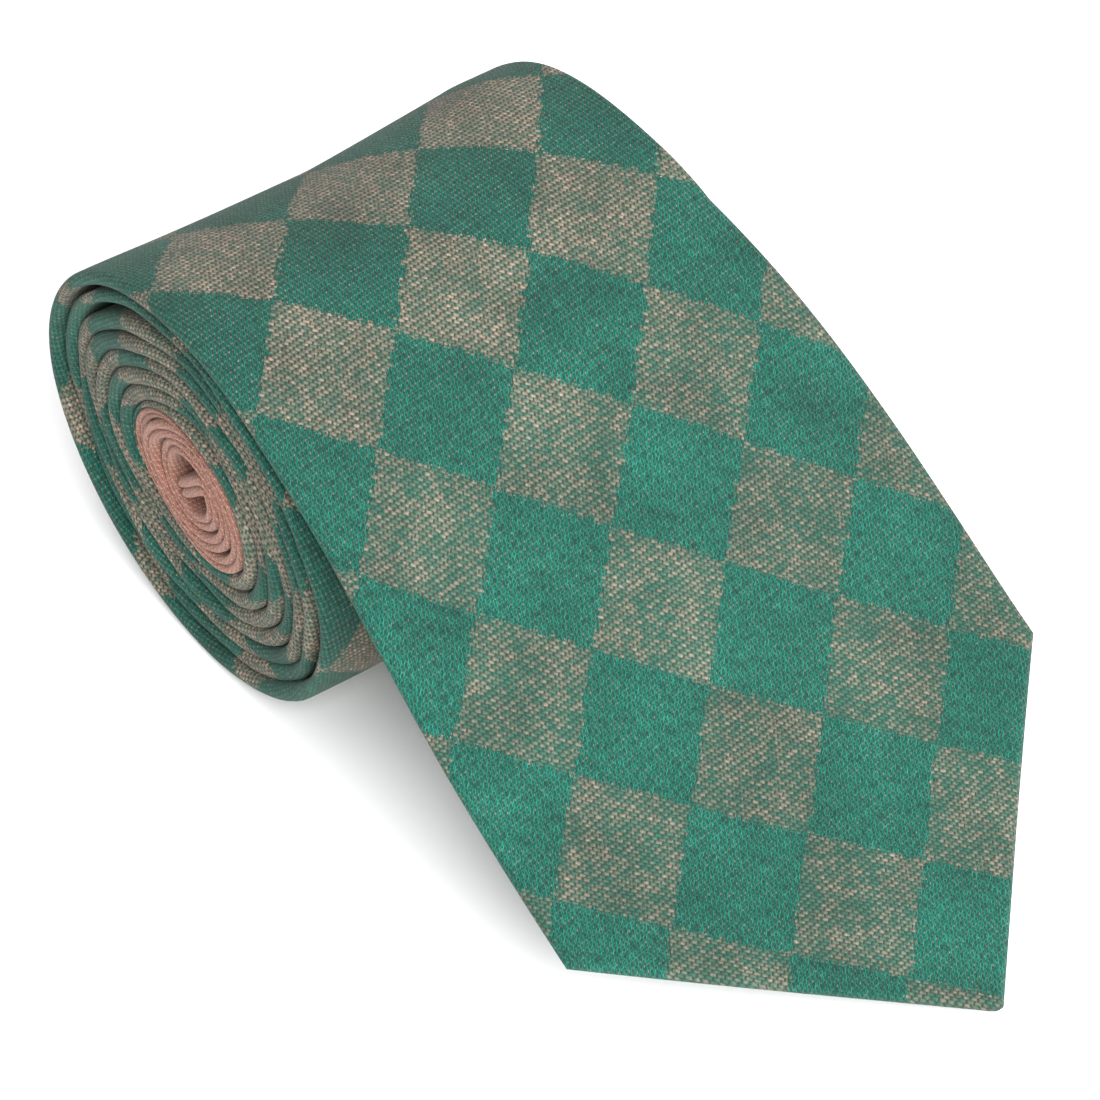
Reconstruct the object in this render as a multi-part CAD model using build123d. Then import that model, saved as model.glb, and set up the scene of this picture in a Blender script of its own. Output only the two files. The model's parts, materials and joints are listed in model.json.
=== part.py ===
from build123d import *
from math import atan2, cos, degrees, pi, radians, sin, sqrt, tan
import os

# A rolled necktie. The tail end is the core of the roll, every turn is wound flush at the
# left edge, and the wide front blade runs off the top of the roll down to the table.
# X is the roll's axis, the blade points towards -Y, and Z is up.

# ---- driving dimensions, in mm ----
BLADE_WIDTH = 89.0          # across the corners of the front point
LEAVE_WIDTH = 86.0          # where the blade leaves the roll
NECK_WIDTH = 38.0           # narrowest part of the tie
TAIL_WIDTH = 47.0           # across the tail end
LAYER = 2.4                 # folded thickness of the tie
CAVITY = 1.5                # space between the front and the back of the folded shell
FOLD = 0.9                  # cloth at each folded edge

ROLL_A = 42.0               # outer half-axis of the roll, front to back
ROLL_B = 34.4               # outer half-axis of the roll, up and down
TURNS = 11.5                # turns from the core to the place where the blade leaves
LEAVE_ANGLE = 120.0         # where the blade leaves, counted from +Y through +Z
FIRST_TURN = 0.55           # the tail's end, in turns from the centre
TAIL_TURN = 4.5             # seam between the tail and the neck
NECK_TURN = 8.4             # seam between the neck and the blade
TAPER_TURN = 7.8            # the blade narrows from its corners to this turn
ARCS_PER_TURN = 20
TAPER_STATIONS = [TAPER_TURN, 9.0, 10.3, 12.2]     # turns where the taper's edge is set

# the free blade beyond the roll, as (length, slope at the end in degrees)
BLADE_RUNS = [(30.0, 32.6), (22.0, 32.6), (60.0, 20.5), (20.0, 20.5)]
FREE_LENGTH = sum(run[0] for run in BLADE_RUNS)
POINT_LENGTH = 62.0         # the end section that folds up on its own
POINT_SKEW = 6.0            # the square point is turned this much, in degrees
BODY_GAP = 0.3              # between sections that move apart
FLAT_DEPTH = 0.25           # the roll's underside is pressed flat by this much

INTERLINING = 1.15
LINING = 0.2                # thickness of the tipping
THREAD = 0.2                # thickness of a stitch
THREAD_WIDTH = 0.8
LABEL = 0.2                 # thickness of the label, the tag and the keeper
TIPPING_TURNS = 0.36        # how far the front tipping reaches into the roll
TAIL_TIPPING_TURN = 3.1
INTERLINING_JOIN_TURN = 8.0
BACK_OPENING = 100.0        # length of the V at the back where the tipping shows
HEM = 9.0                   # shell turned over at the tip, at the back
SIDE_FLAP = 9.0             # and at the corners
HEM_STITCH_PITCH = 2.9

LEFT = -BLADE_WIDTH / 2
RIGHT = BLADE_WIDTH / 2
HALF = LAYER / 2
CLEAR = 0.06                # between pieces that lie on each other
FAR = 120.0                 # reach of the cutting tools


# ---- the path of the tie, at half its thickness, about the roll's centre ----
def wound_point(turn):
    """y, z and downward slope (radians, towards -Y) of the rolled tie."""
    angle = radians(LEAVE_ANGLE) + 2 * pi * (turn - TURNS)
    size = turn / TURNS
    growth = 1 / (2 * pi * TURNS)
    a, b = ROLL_A - HALF, ROLL_B - HALF
    dy = a * (growth * cos(angle) - size * sin(angle))
    dz = b * (growth * sin(angle) + size * cos(angle))
    return a * size * cos(angle), b * size * sin(angle), atan2(-dz, -dy)


def free_point(distance):
    """y, z and downward slope of the free blade, at a distance beyond the roll."""
    y, z, slope = wound_point(TURNS)
    for length, end_slope in BLADE_RUNS:
        part = min(distance, length)
        new_slope = slope + (radians(end_slope) - slope) * part / length
        half = (new_slope - slope) / 2
        chord = part * (sin(half) / half if abs(half) > 1e-9 else 1.0)
        y -= chord * cos((slope + new_slope) / 2)
        z -= chord * sin((slope + new_slope) / 2)
        slope = new_slope
        distance -= part
        if distance <= 0:
            break
    return y - distance * cos(slope), z - distance * sin(slope), slope


def offset_point(point, offset):
    """A path point moved outwards, towards the face of the tie."""
    y, z, slope = point
    return (y - offset * sin(slope), z + offset * cos(slope))


def stations_between(start, end, arcs):
    return [start + (end - start) * i / (2 * arcs) for i in range(2 * arcs + 1)]


def layer(path, start, end, low, high, x0, x1):
    """A layer of cloth along the path, between two offsets and two places across."""
    if path is wound_point:
        stations = stations_between(start, end, max(1, round((end - start) * ARCS_PER_TURN)))
    else:
        stops = [start]
        reached = 0.0
        for length, _ in BLADE_RUNS:
            reached += length
            if start < reached < end:
                stops.append(reached)
        stops.append(end)
        stations = [stops[0]]
        for a, b in zip(stops, stops[1:]):
            stations += [(a + b) / 2, b]
    inner, outer = (chain(path, stations, offset) for offset in (low, high))
    first = Line(inner[0] @ 0, outer[0] @ 0)
    last = Line(inner[-1] @ 1, outer[-1] @ 1)
    face = make_face([Plane.YZ * edge for edge in (first, *outer, last, *inner)])
    return Pos(x0, 0, 0) * extrude(face, x1 - x0, dir=(1, 0, 0))


def chain(path, stations, offset):
    """Arcs through the path's offset points, or a line where three of them are in line."""
    edges = []
    for i in range(0, len(stations) - 2, 2):
        a, b, c = (offset_point(path(station), offset) for station in stations[i:i + 3])
        bend = (b[0] - a[0]) * (c[1] - a[1]) - (b[1] - a[1]) * (c[0] - a[0])
        straight = abs(bend) < 1e-6 * ((c[0] - a[0]) ** 2 + (c[1] - a[1]) ** 2)
        edges.append(Line(a, c) if straight else ThreePointArc(a, b, c))
    return edges


# ---- the edges of the tie ----
def oval(x, turn):
    """The roll's section at a turn, as a face across the axis."""
    size = turn / TURNS
    across = Plane(origin=(x, 0, 0), x_dir=(0, 1, 0), z_dir=(1, 0, 0))
    return across * Ellipse(ROLL_A * size, ROLL_B * size)


def right_edge(turn):
    """x of the tie's right edge, for a turn of the wound blade."""
    share = (turn ** 2 - TAPER_TURN ** 2) / (TURNS ** 2 - TAPER_TURN ** 2)
    return LEFT + NECK_WIDTH + (LEAVE_WIDTH - NECK_WIDTH) * share


def taper_loft(edge):
    """A solid whose wall crosses each turn of the roll at the x that edge(turn) gives."""
    return loft([oval(edge(turn), turn) for turn in TAPER_STATIONS], ruled=True)


def dish(inset):
    """What the narrowing of the blade leaves open at the right end of the roll."""
    return taper_loft(lambda turn: right_edge(turn) - inset)


def seam_band():
    """A thin curved wall on the centre line of the narrowing blade, for the back seam."""
    left_side, right_side = (
        taper_loft(lambda turn: (LEFT + right_edge(turn)) / 2 + shift)
        for shift in (-THREAD_WIDTH / 2, THREAD_WIDTH / 2)
    )
    return left_side - right_side


def tail_outline(inset):
    """The tail's right end rises as it widens towards the core."""
    low_x, top_x = LEFT + NECK_WIDTH - inset, LEFT + TAIL_WIDTH - inset
    barrel = loft([oval(LEFT - 1, TURNS), oval(low_x, TURNS)], ruled=True)
    cone = loft([oval(low_x, TAIL_TURN - 0.5), oval(top_x, 1.5)], ruled=True)
    return barrel + cone


def point_side(x, vertex_x):
    """How far a side of the square point has risen, along the tie, at a place across."""
    lean = radians(POINT_SKEW)
    return abs(x - vertex_x) * tan(pi / 4 + (lean if x > vertex_x else -lean))


def point_x():
    return RIGHT * sin(radians(POINT_SKEW))


def blade_outline(inset):
    """The free blade's outline from above: its taper and its square point."""
    tip_y = free_point(FREE_LENGTH)[0] + inset
    leave_y = free_point(0)[0] + LAYER
    fall = cos(radians(BLADE_RUNS[-1][1]))
    points = [
        (point_x(), tip_y),
        (RIGHT - inset, tip_y + point_side(RIGHT, point_x()) * fall),
        (LEFT + LEAVE_WIDTH - inset, leave_y),
        (LEFT + inset, leave_y),
        (LEFT + inset, tip_y + point_side(LEFT, point_x()) * fall),
    ]
    return tall_prism(points)


def tall_prism(points):
    """An upright prism through the whole object, on an outline seen from above."""
    outline = Pos(0, 0, -FAR) * make_face(Polyline(*points, close=True).edges())
    return extrude(outline, 2 * FAR, dir=(0, 0, 1))


# ---- cloth ----
def wound_shell(start, end, trim):
    """A stretch of folded shell in the roll; trim takes an inset and cuts its right edge."""
    outside = trim(layer(wound_point, start, end, -HALF, HALF, LEFT, RIGHT), 0)
    inside = layer(wound_point, start - 0.02, end + 0.02, -CAVITY / 2, CAVITY / 2,
                   LEFT + FOLD, RIGHT)
    return outside - trim(inside, FOLD)


def cut_dish(solid, inset):
    return solid - dish(inset)


def cut_neck(solid, inset):
    x = LEFT + NECK_WIDTH - inset
    return solid & Pos(x - FAR / 2, 0, 0) * Box(FAR, FAR, FAR)


def cut_tail(solid, inset):
    return solid & tail_outline(inset)


def free_shell(start, end):
    """A stretch of folded shell beyond the roll, open at the back over the tipping."""
    closed_tip = end >= FREE_LENGTH
    outside = layer(free_point, start, end, -HALF, HALF, LEFT, RIGHT) & blade_outline(0)
    inside = layer(free_point, start - 1, end + (0 if closed_tip else 1),
                   -CAVITY / 2, CAVITY / 2, LEFT, RIGHT) & blade_outline(FOLD)
    return outside - inside - back_opening(start, end)


def back_opening(start, end):
    """The V between the two folded sides of the shell, at the back of the point."""
    top_y = free_point(FREE_LENGTH - BACK_OPENING)[0]
    hem_y = free_point(FREE_LENGTH - HEM)[0]
    fall = cos(radians(BLADE_RUNS[-1][1]))
    side = RIGHT - SIDE_FLAP
    points = [(0, top_y)]
    points.append((-side, hem_y + point_side(-side, point_x()) * fall))
    points.append((point_x(), hem_y))
    points.append((side, hem_y + point_side(side, point_x()) * fall))
    skin = layer(free_point, start - 1, end + 1, -HALF - 1, -CAVITY / 2 + CLEAR, LEFT, RIGHT)
    return skin & tall_prism(points)


def lining_layer(path, start, end):
    """Tipping, next to the back of the shell."""
    low = -CAVITY / 2 + CLEAR
    return layer(path, start, end, low, low + LINING, LEFT + FOLD + CLEAR, RIGHT)


def interlining_layer(path, start, end):
    high = CAVITY / 2 - CLEAR
    return layer(path, start, end, high - INTERLINING, high, LEFT + FOLD + CLEAR, RIGHT)


def trimmed_free(solid):
    return solid & blade_outline(FOLD + CLEAR)


# ---- threads, tacks, label and tag, on the back of the tie ----
def on_back(path, start, end, thickness, x0, x1, lift=0.0):
    low = -HALF - CLEAR - lift - thickness
    return layer(path, start, end, low, low + thickness, x0, x1)


def centre_x(width):
    return LEFT + width / 2


def group(solids):
    return Compound(children=list(solids))


def seam_stitches(turn, arc, pairs):
    """Short stitches across a seam of the roll, as many on each side of the back seam."""
    step = (NECK_WIDTH - 4.0) / (2 * pairs)
    middles = [LEFT + 2.0 + step * (i + 0.5) for i in range(2 * pairs)]
    return group(
        on_back(wound_point, turn - arc, turn + arc, THREAD / 2, x - 1.1, x + 1.1)
        for x in middles
    )


def hem_stitches():
    """Short stitches that hold the tipping to the two sides of the point."""
    stitches = []
    for i in [i for i in range(-11, 12) if i]:
        across = point_x() + i * HEM_STITCH_PITCH
        along = FREE_LENGTH - HEM - 0.6 - point_side(across, point_x())
        stitches.append(on_back(free_point, along, along + 1.2, THREAD / 2,
                                across - 0.6, across + 0.6, lift=-CLEAR))
    return group(stitches)


def wound_seam():
    """The slip-stitched back seam, from the tail's bar tack to the end of the roll."""
    middle = centre_x(NECK_WIDTH)
    narrow = on_back(wound_point, 2.6, TAPER_TURN, THREAD,
                     middle - THREAD_WIDTH / 2, middle + THREAD_WIDTH / 2)
    wide = on_back(wound_point, TAPER_TURN, TURNS, THREAD, LEFT, RIGHT) & seam_band()
    return narrow + wide


KEEPER_TURN = TURNS - 0.37
LABEL_TURN = TURNS - 0.24
TAG_TURN = TURNS - 0.52
CENTRE = centre_x(LEAVE_WIDTH)
OVER_SEAM = THREAD + CLEAR

split = FREE_LENGTH - POINT_LENGTH
tipping_start = TURNS - TIPPING_TURNS
bar_tack_at = FREE_LENGTH - BACK_OPENING - 4.0

nodes = {
    # wound into the roll
    "tail_shell": wound_shell(FIRST_TURN, TAIL_TURN, cut_tail),
    "neck_shell": wound_shell(TAIL_TURN, NECK_TURN, cut_dish),
    "blade_shell_wound": wound_shell(NECK_TURN, TURNS, cut_dish),
    "tail_interlining": interlining_layer(wound_point, FIRST_TURN + 0.1, INTERLINING_JOIN_TURN)
    & tail_outline(FOLD + CLEAR),
    "blade_interlining_wound": interlining_layer(wound_point, INTERLINING_JOIN_TURN, TURNS)
    - dish(FOLD + CLEAR),
    "tail_tipping": lining_layer(wound_point, FIRST_TURN + 0.05, TAIL_TIPPING_TURN)
    & tail_outline(FOLD + CLEAR),
    "blade_tipping_wound": lining_layer(wound_point, tipping_start, TURNS) - dish(FOLD + CLEAR),
    "slip_stitch_wound": wound_seam(),
    "tail_bar_tack": on_back(wound_point, 2.5, 2.57, THREAD, centre_x(NECK_WIDTH) - 3.5,
                             centre_x(NECK_WIDTH) + 3.5),
    "tail_seam_stitches": seam_stitches(TAIL_TURN, 0.01, 4),
    "neck_seam_stitches": seam_stitches(NECK_TURN, 0.006, 4),
    "keeper_loop": on_back(wound_point, KEEPER_TURN - 0.05, KEEPER_TURN + 0.05, LABEL,
                           CENTRE - 26, CENTRE + 26, lift=OVER_SEAM),
    "keeper_tacks": group(
        on_back(wound_point, KEEPER_TURN - 0.03, KEEPER_TURN + 0.03, LABEL / 2, x, x + 1.2,
                lift=OVER_SEAM + LABEL + CLEAR) for x in (CENTRE - 25, CENTRE + 23.8)),
    "label_patch": on_back(wound_point, LABEL_TURN - 0.06, LABEL_TURN + 0.06, LABEL,
                           CENTRE - 20, CENTRE + 20, lift=OVER_SEAM),
    "care_tag": on_back(wound_point, TAG_TURN - 0.06, TAG_TURN + 0.02, LABEL,
                        CENTRE + 3, CENTRE + 15),
    # the free blade, next to the roll
    "blade_shell_free": free_shell(BODY_GAP, split),
    "blade_interlining_free": trimmed_free(interlining_layer(free_point, BODY_GAP, split)),
    "blade_tipping_free": trimmed_free(lining_layer(free_point, BODY_GAP, split)),
    "slip_stitch_free": on_back(free_point, BODY_GAP, bar_tack_at - 1, THREAD,
                                -THREAD_WIDTH / 2, THREAD_WIDTH / 2),
    "front_bar_tack": on_back(free_point, bar_tack_at, bar_tack_at + 1.8, THREAD, -4.5, 4.5),
    # the point of the blade
    "point_shell": free_shell(split + BODY_GAP, FREE_LENGTH),
    "point_interlining": trimmed_free(
        interlining_layer(free_point, split + BODY_GAP, FREE_LENGTH)),
    "point_tipping": trimmed_free(lining_layer(free_point, split + BODY_GAP, FREE_LENGTH)),
    "point_hem_stitches": hem_stitches(),
}

# ---- the roll's flat underside is the floor, and the origin is in the middle of it all ----
bottom = min(wound_point(TURNS - 1 + i / 200)[1] for i in range(100)) - HALF + FLAT_DEPTH
below = Pos(0, 0, bottom - FAR / 2) * Box(4 * FAR, 4 * FAR, FAR)
nodes["blade_shell_wound"] -= below
boxes = [node.bounding_box() for node in nodes.values()]
front = min(box.min.Y for box in boxes)
back = max(box.max.Y for box in boxes)
home = Pos(0, -(front + back) / 2, -bottom)

os.makedirs("parts", exist_ok=True)
for name, solid in nodes.items():
    placed = home * solid
    placed.label = name
    export_step(placed, f"parts/{name}.step")


def in_frame(point, offset):
    y, z = offset_point(point, offset)
    return f"y {y - (front + back) / 2:.3f}  z {z - bottom:.3f}"


print("roll centre     y", round(-(front + back) / 2, 3), " z", round(-bottom, 3))
print("lift hinge     ", in_frame(free_point(0), HALF))
print("point hinge    ", in_frame(free_point(split), HALF))
print("tip, underside ", in_frame(free_point(FREE_LENGTH), -HALF))
rolled = sum(
    sqrt(sum((a - b) ** 2 for a, b in zip(wound_point(t / 50)[:2], wound_point((t + 1) / 50)[:2])))
    for t in range(round(FIRST_TURN * 50), round(TURNS * 50))
)
print("tie length     ", round(rolled + FREE_LENGTH), "mm; slope at the roll",
      round(degrees(free_point(0)[2]), 1))
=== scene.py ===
import bpy
import json
import numpy as np
from math import atan2, cos, pi, radians, sin
from mathutils import Matrix, Vector


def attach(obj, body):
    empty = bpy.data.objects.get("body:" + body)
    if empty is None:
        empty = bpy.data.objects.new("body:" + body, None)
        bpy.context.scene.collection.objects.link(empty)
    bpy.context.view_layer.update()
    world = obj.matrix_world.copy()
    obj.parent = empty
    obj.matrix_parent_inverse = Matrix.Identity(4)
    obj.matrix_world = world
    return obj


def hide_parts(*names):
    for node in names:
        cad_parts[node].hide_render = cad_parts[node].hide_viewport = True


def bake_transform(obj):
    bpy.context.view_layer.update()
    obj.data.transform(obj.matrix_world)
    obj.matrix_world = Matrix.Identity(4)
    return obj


# Looks for the rolled necktie. Lengths are in millimetres about the roll's centre line and
# become metres when a mesh is made. X is the roll's axis, the blade points towards -Y.

MM = 0.001

# ---- the tie's path and edges, as the CAD part has them ----
LEFT, RIGHT = -44.5, 44.5
LEAVE_WIDTH = 84.6          # where the blade leaves the roll
NECK_WIDTH = 38.0
TAIL_WIDTH = 47.0
HALF = 1.2                  # half of the folded tie's thickness
ROLL_A, ROLL_B = 42.0, 34.4
TURNS = 11.5
LEAVE_ANGLE = radians(120.0)
TAIL_TURN = 4.5             # seam between the copper tail and the neck
NECK_TURN = 8.4             # seam between the neck and the blade
TAPER_TURN = 7.8            # from here on the tie widens towards the blade
LAP_TURNS = 0.4             # the neck's cloth thins out over this much of the tail
BLADE_RUNS = [(30.0, 32.6), (22.0, 32.6), (60.0, 20.5), (20.0, 20.5)]
FREE_LENGTH = sum(run[0] for run in BLADE_RUNS)
LIFT_AT, FOLD_AT = 0.0, 70.0        # the two places where the blade bends
BACK_OPENING = 100.0        # the V at the back starts this far up from the tip
HEM, SIDE_FLAP = 9.0, 9.0   # width of the cloth turned in at the point and at its corners
INTERLINING_JOIN = 8.0      # the turn where the tail's interlining meets the blade's
TAIL_TIPPING_TURN = 3.1     # the tail's tipping ends here
HEM_STITCH_PITCH = 2.9

# ---- how the visual pieces are cut ----
CORE_TURN = 1.66            # the spiral starts here, after the strip that crosses the core
SPLIT_TURN = TURNS - 0.35   # behind the roll: wound cloth before it, free cloth after it
SPLIT_AT = 52.0             # between the free cloth and the point's cloth
LAYER_INSET = 1.2           # interlining and tipping end this far inside the shell's edges
LAYER_SAMPLES = 14
LEAST_WIDTH = 0.4           # of such a layer, at the tip
FACE_SAMPLES, BACK_SAMPLES = 40, 12
TUBE_SIDES, END_TAPER = 6, 0.55         # of the sewing threads

# ---- the blade's outline ----
TIP_AT = 129.6              # the turned cloth draws the tip back a little from the CAD one
TIP_X = 6.2
TIP_END = TIP_AT - 0.5      # the cloth has closed here,
CLOSING = 1.5               # over this length
LEFT_RISE, RIGHT_RISE = 36.5, 47.0      # of the point's two sides, along the tie
LEFT_EASE, RIGHT_EASE = 1.1, 2.5        # how far the blade's soft edges stand out
WIDENING = 68.0             # the blade reaches its full width this far beyond the roll

# ---- how the roll's layers lie, in mm unless they are shares ----
PRESSED = 1.1               # the inner turns are pressed this far off the outer one
FLARE = 3.0                 # the outer layer's right end stands this far proud at the top
PROUD = 0.8                 # and its left edge, behind the roll
PACKED = 0.475              # a layer's half thickness in the roll, as a share of the pitch
LOOSE = 0.8                 # and of the outer layers, as a share of the free blade's
THINNEST = 0.12             # the least half thickness, where two cloths lap

# ---- the weave ----
CHECK = 18.2                # side of a check along its threads
CHECK_STEP = CHECK / 2 ** 0.5
WARPS, WEFTS = 74.0, 35.0   # threads in a check
COPPER_WARPS, COPPER_WEFTS = 60.0, 40.0
ENDS = 5.0                  # a five-end satin: each thread is bound by one in five
BINDING = 1 / ENDS
TIP_ROW = 13.097            # the checks' row at the tip; they count down, up the tie
ROW, ROW_GROWTH = 0.975, 0.0071         # the rows' spacing at the tip, and how it grows
GROWN, LAST_ROW = 15.04, 1.174          # how far it grows, and the spacing beyond that
ROW_SLANT, COLUMN_SLANT = 0.10, 0.005   # how the cloth's cut turns the rows and columns
FIRST_COLUMN, SLANT_CENTRE = 2.28, 0.32
DRIFT = 7.0                 # how far the checks drift across the rolled part,
DRIFT_FROM, DRIFT_LENGTH = 120.0, 320.0     # and over which stretch of it

# tones of the cloths' threads, from 0 to 255
# painted sheen and shade: the warp is painted darker and the weft paler in the roll than towards
# the tip
PAINTED_SHEEN_SHIFT = 0.37           # how much the tones change from the roll to the tip
WEFT_PALE = (168, 144, 128)
WEFT_DARK = (84, 75, 62)
WEFT_GREEN = (46, 88, 74)
UNDER_PALE = (42, 66, 54)
WARP_BRIGHT = (26, 120, 101)
WARP_DARK = (7, 66, 56)
# painted shade in the hollows between the threads
HOLLOW_SHADE_GREEN = (8, 30, 26)
COPPER_BRIGHT = (166, 118, 102)
COPPER_DARK = (132, 88, 73)
COPPER_WEFT = (206, 162, 144)
# painted shade in the copper weave's hollows
COPPER_HOLLOW_SHADE = (96, 56, 44)


def smooth(value):
    """0 up to value 0, 1 from value 1, and a smooth step between them."""
    value = min(1.0, max(0.0, value))
    return value * value * (3 - 2 * value)


def wave(value, *terms):
    """A smooth wavering line: a sum of (size, wavelength, phase) waves."""
    return sum(size * sin(2 * pi * value / length + phase) for size, length, phase in terms)


# ================ the path ================
def roll_angle(turn):
    return LEAVE_ANGLE + 2 * pi * (turn - TURNS)


def wound_point(turn):
    """y, z and downward slope (towards -Y) of the rolled tie."""
    angle = roll_angle(turn)
    size = turn / TURNS
    growth = 1 / (2 * pi * TURNS)
    a, b = ROLL_A - HALF, ROLL_B - HALF
    dy = a * (growth * cos(angle) - size * sin(angle))
    dz = b * (growth * sin(angle) + size * cos(angle))
    return a * size * cos(angle), b * size * sin(angle), atan2(-dz, -dy)


def free_point(distance):
    """y, z and downward slope of the free blade, at a distance beyond the roll."""
    y, z, slope = wound_point(TURNS)
    for length, end_slope in BLADE_RUNS:
        part = min(distance, length)
        new_slope = slope + (radians(end_slope) - slope) * part / length
        half = (new_slope - slope) / 2
        chord = part * (sin(half) / half if abs(half) > 1e-9 else 1.0)
        y -= chord * cos((slope + new_slope) / 2)
        z -= chord * sin((slope + new_slope) / 2)
        slope = new_slope
        distance -= part
        if distance <= 0:
            break
    return y - distance * cos(slope), z - distance * sin(slope), slope


def outward(point, offset):
    """The place beside a path point, in metres, in the shared frame."""
    y, z, slope = point
    y, z = y - offset * sin(slope), z + offset * cos(slope)
    return Vector((0.0, CENTRE_Y + y * MM, CENTRE_Z + z * MM))


def distances_from_tip(turns):
    """How far up the tie from its tip each of these places in the roll is."""
    points = np.array([wound_point(t)[:2] for t in turns])
    steps = np.hypot(*np.diff(points, axis=0).T)
    return FREE_LENGTH + np.concatenate([np.cumsum(steps[::-1])[::-1], [0.0]])


TURN_TABLE = np.linspace(0.3, TURNS, 6000)
FROM_TIP = distances_from_tip(TURN_TABLE)


def wound_from_tip(turn):
    """Distance up the tie from its tip, for a place in the roll."""
    return float(np.interp(turn, TURN_TABLE, FROM_TIP))


class Station:
    """A place on the tie's path: y, z, slope, distance from the tip, and its turn or None."""

    def __init__(self, point, from_tip, turn=None):
        self.y, self.z, self.slope = point
        self.from_tip, self.turn = from_tip, turn
        self.free = FREE_LENGTH - from_tip


def slack(angle):
    """How far the outer turns stand off the inner ones: 1 at the top and front of the roll."""
    return smooth((sin(angle - 0.5) + 0.1) / 0.5)


def squeezed_point(turn):
    """A place in the roll, whose inner turns are pressed a little out of true together."""
    y, z, slope = wound_point(turn)
    angle = roll_angle(turn)
    push = wave(angle, (0.42, pi, 0.8), (0.34, 2 * pi / 3, 2.1), (0.16, 2 * pi / 5, 0.0))
    push *= smooth((turn - 2.0) / 2.0) * smooth((TURNS - 0.9 - turn) / 2.0)
    push -= (PRESSED * slack(angle) * smooth((turn - 4.0) / 5.0)
             * smooth((TURNS - 1.3 - turn) / 0.3))
    return y - push * sin(slope), z + push * cos(slope), slope


def wound_stations(start, end, step):
    length = wound_from_tip(start) - wound_from_tip(end)
    count = max(4, round(length / step))
    return [Station(squeezed_point(t), wound_from_tip(t), t)
            for t in np.linspace(start, end, count + 1)]


def free_stations(start, end, step):
    """Stations beyond the roll, with one at each corner of the point."""
    corners = (corner_at(LEFT - LEFT_EASE), corner_at(RIGHT + RIGHT_EASE))
    stops = sorted([start, end] + [c for c in corners if start < c < end])
    places = [start]
    for a, b in zip(stops, stops[1:]):
        places += list(np.linspace(a, b, max(2, round((b - a) / step)) + 1))[1:]
    return [Station(free_point(f), FREE_LENGTH - f) for f in places]


def core_stations(step):
    """The strip that crosses the core and bends round into the spiral, inner end first: a
    Catmull-Rom curve through a few knots, with its stations spread evenly."""
    strip = [(4.4, -2.4), (2.6, -1.5), (0.2, 0.3), (-2.2, 2.2), (-4.0, 3.0), (-5.4, 2.4)]
    knots = [np.array(p) for p in strip]
    knots += [np.array(wound_point(CORE_TURN + k)[:2]) for k in (0.0, 0.04, 0.08)]
    line = []
    for k in range(1, len(knots) - 2):
        p0, p1, p2, p3 = knots[k - 1:k + 3]
        for u in np.linspace(0, 1, 12, endpoint=False):
            line.append(0.5 * (2 * p1 + (p2 - p0) * u + (2 * p0 - 5 * p1 + 4 * p2 - p3) * u * u
                               + (3 * p1 - p0 - 3 * p2 + p3) * u ** 3))
    line = np.array(line)
    reach = np.concatenate([[0.0], np.cumsum(np.hypot(*np.diff(line, axis=0).T))])
    even = np.linspace(0, reach[-1], round(reach[-1] / step) + 1)
    line = np.stack([np.interp(even, reach, line[:, i]) for i in (0, 1)], 1)
    along = np.gradient(line, axis=0)
    base = wound_from_tip(CORE_TURN + 0.04)
    return [Station((y, z, atan2(-dz, -dy)), base + reach[-1] - r, CORE_TURN)
            for (y, z), (dy, dz), r in zip(line, along, even)][:-1]


# ================ the edges ================
LEFT_PITCH = LEFT_RISE / (TIP_X - LEFT + LEFT_EASE)
RIGHT_PITCH = RIGHT_RISE / (RIGHT + RIGHT_EASE - TIP_X)


def point_side(x):
    """How far a side of the point has risen, along the tie, at a place across."""
    return abs(x - TIP_X) * (RIGHT_PITCH if x > TIP_X else LEFT_PITCH)


def corner_at(x):
    return TIP_AT - point_side(x)


def left_edge(station):
    if station.turn is None:
        side = LEFT - LEFT_EASE * smooth((station.free - 15) / 50)
        return max(side, TIP_X - (TIP_AT - station.free) / LEFT_PITCH)
    ragged = wave(station.from_tip, (0.30, 61, 0.3), (0.26, 143, 1.1), (0.20, 23, 2.0))
    inside = min(1.0, max(0.0, (TURNS - 0.6 - station.turn) / 0.5))
    behind = smooth((TURNS - 0.15 - station.turn) / 0.2) * (1 - inside)
    return LEFT + (0.45 + ragged) * inside - PROUD * behind


def right_edge(station):
    turn = station.turn
    if turn is None:
        side = TIP_X + (TIP_AT - station.free) / RIGHT_PITCH
        widening = 1 - max(0.0, 1 - station.free / WIDENING) ** 2
        full_width = RIGHT + RIGHT_EASE - LEFT
        return min(side, LEFT + LEAVE_WIDTH + (full_width - LEAVE_WIDTH) * widening)
    if turn < TAIL_TURN:
        return LEFT + NECK_WIDTH + (TAIL_WIDTH - NECK_WIDTH) * min(1, (TAIL_TURN - turn) / 3)
    if turn < TAPER_TURN:
        return LEFT + NECK_WIDTH
    share = (turn ** 2 - TAPER_TURN ** 2) / (TURNS ** 2 - TAPER_TURN ** 2)
    return LEFT + NECK_WIDTH + (LEAVE_WIDTH - NECK_WIDTH) * share


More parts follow.
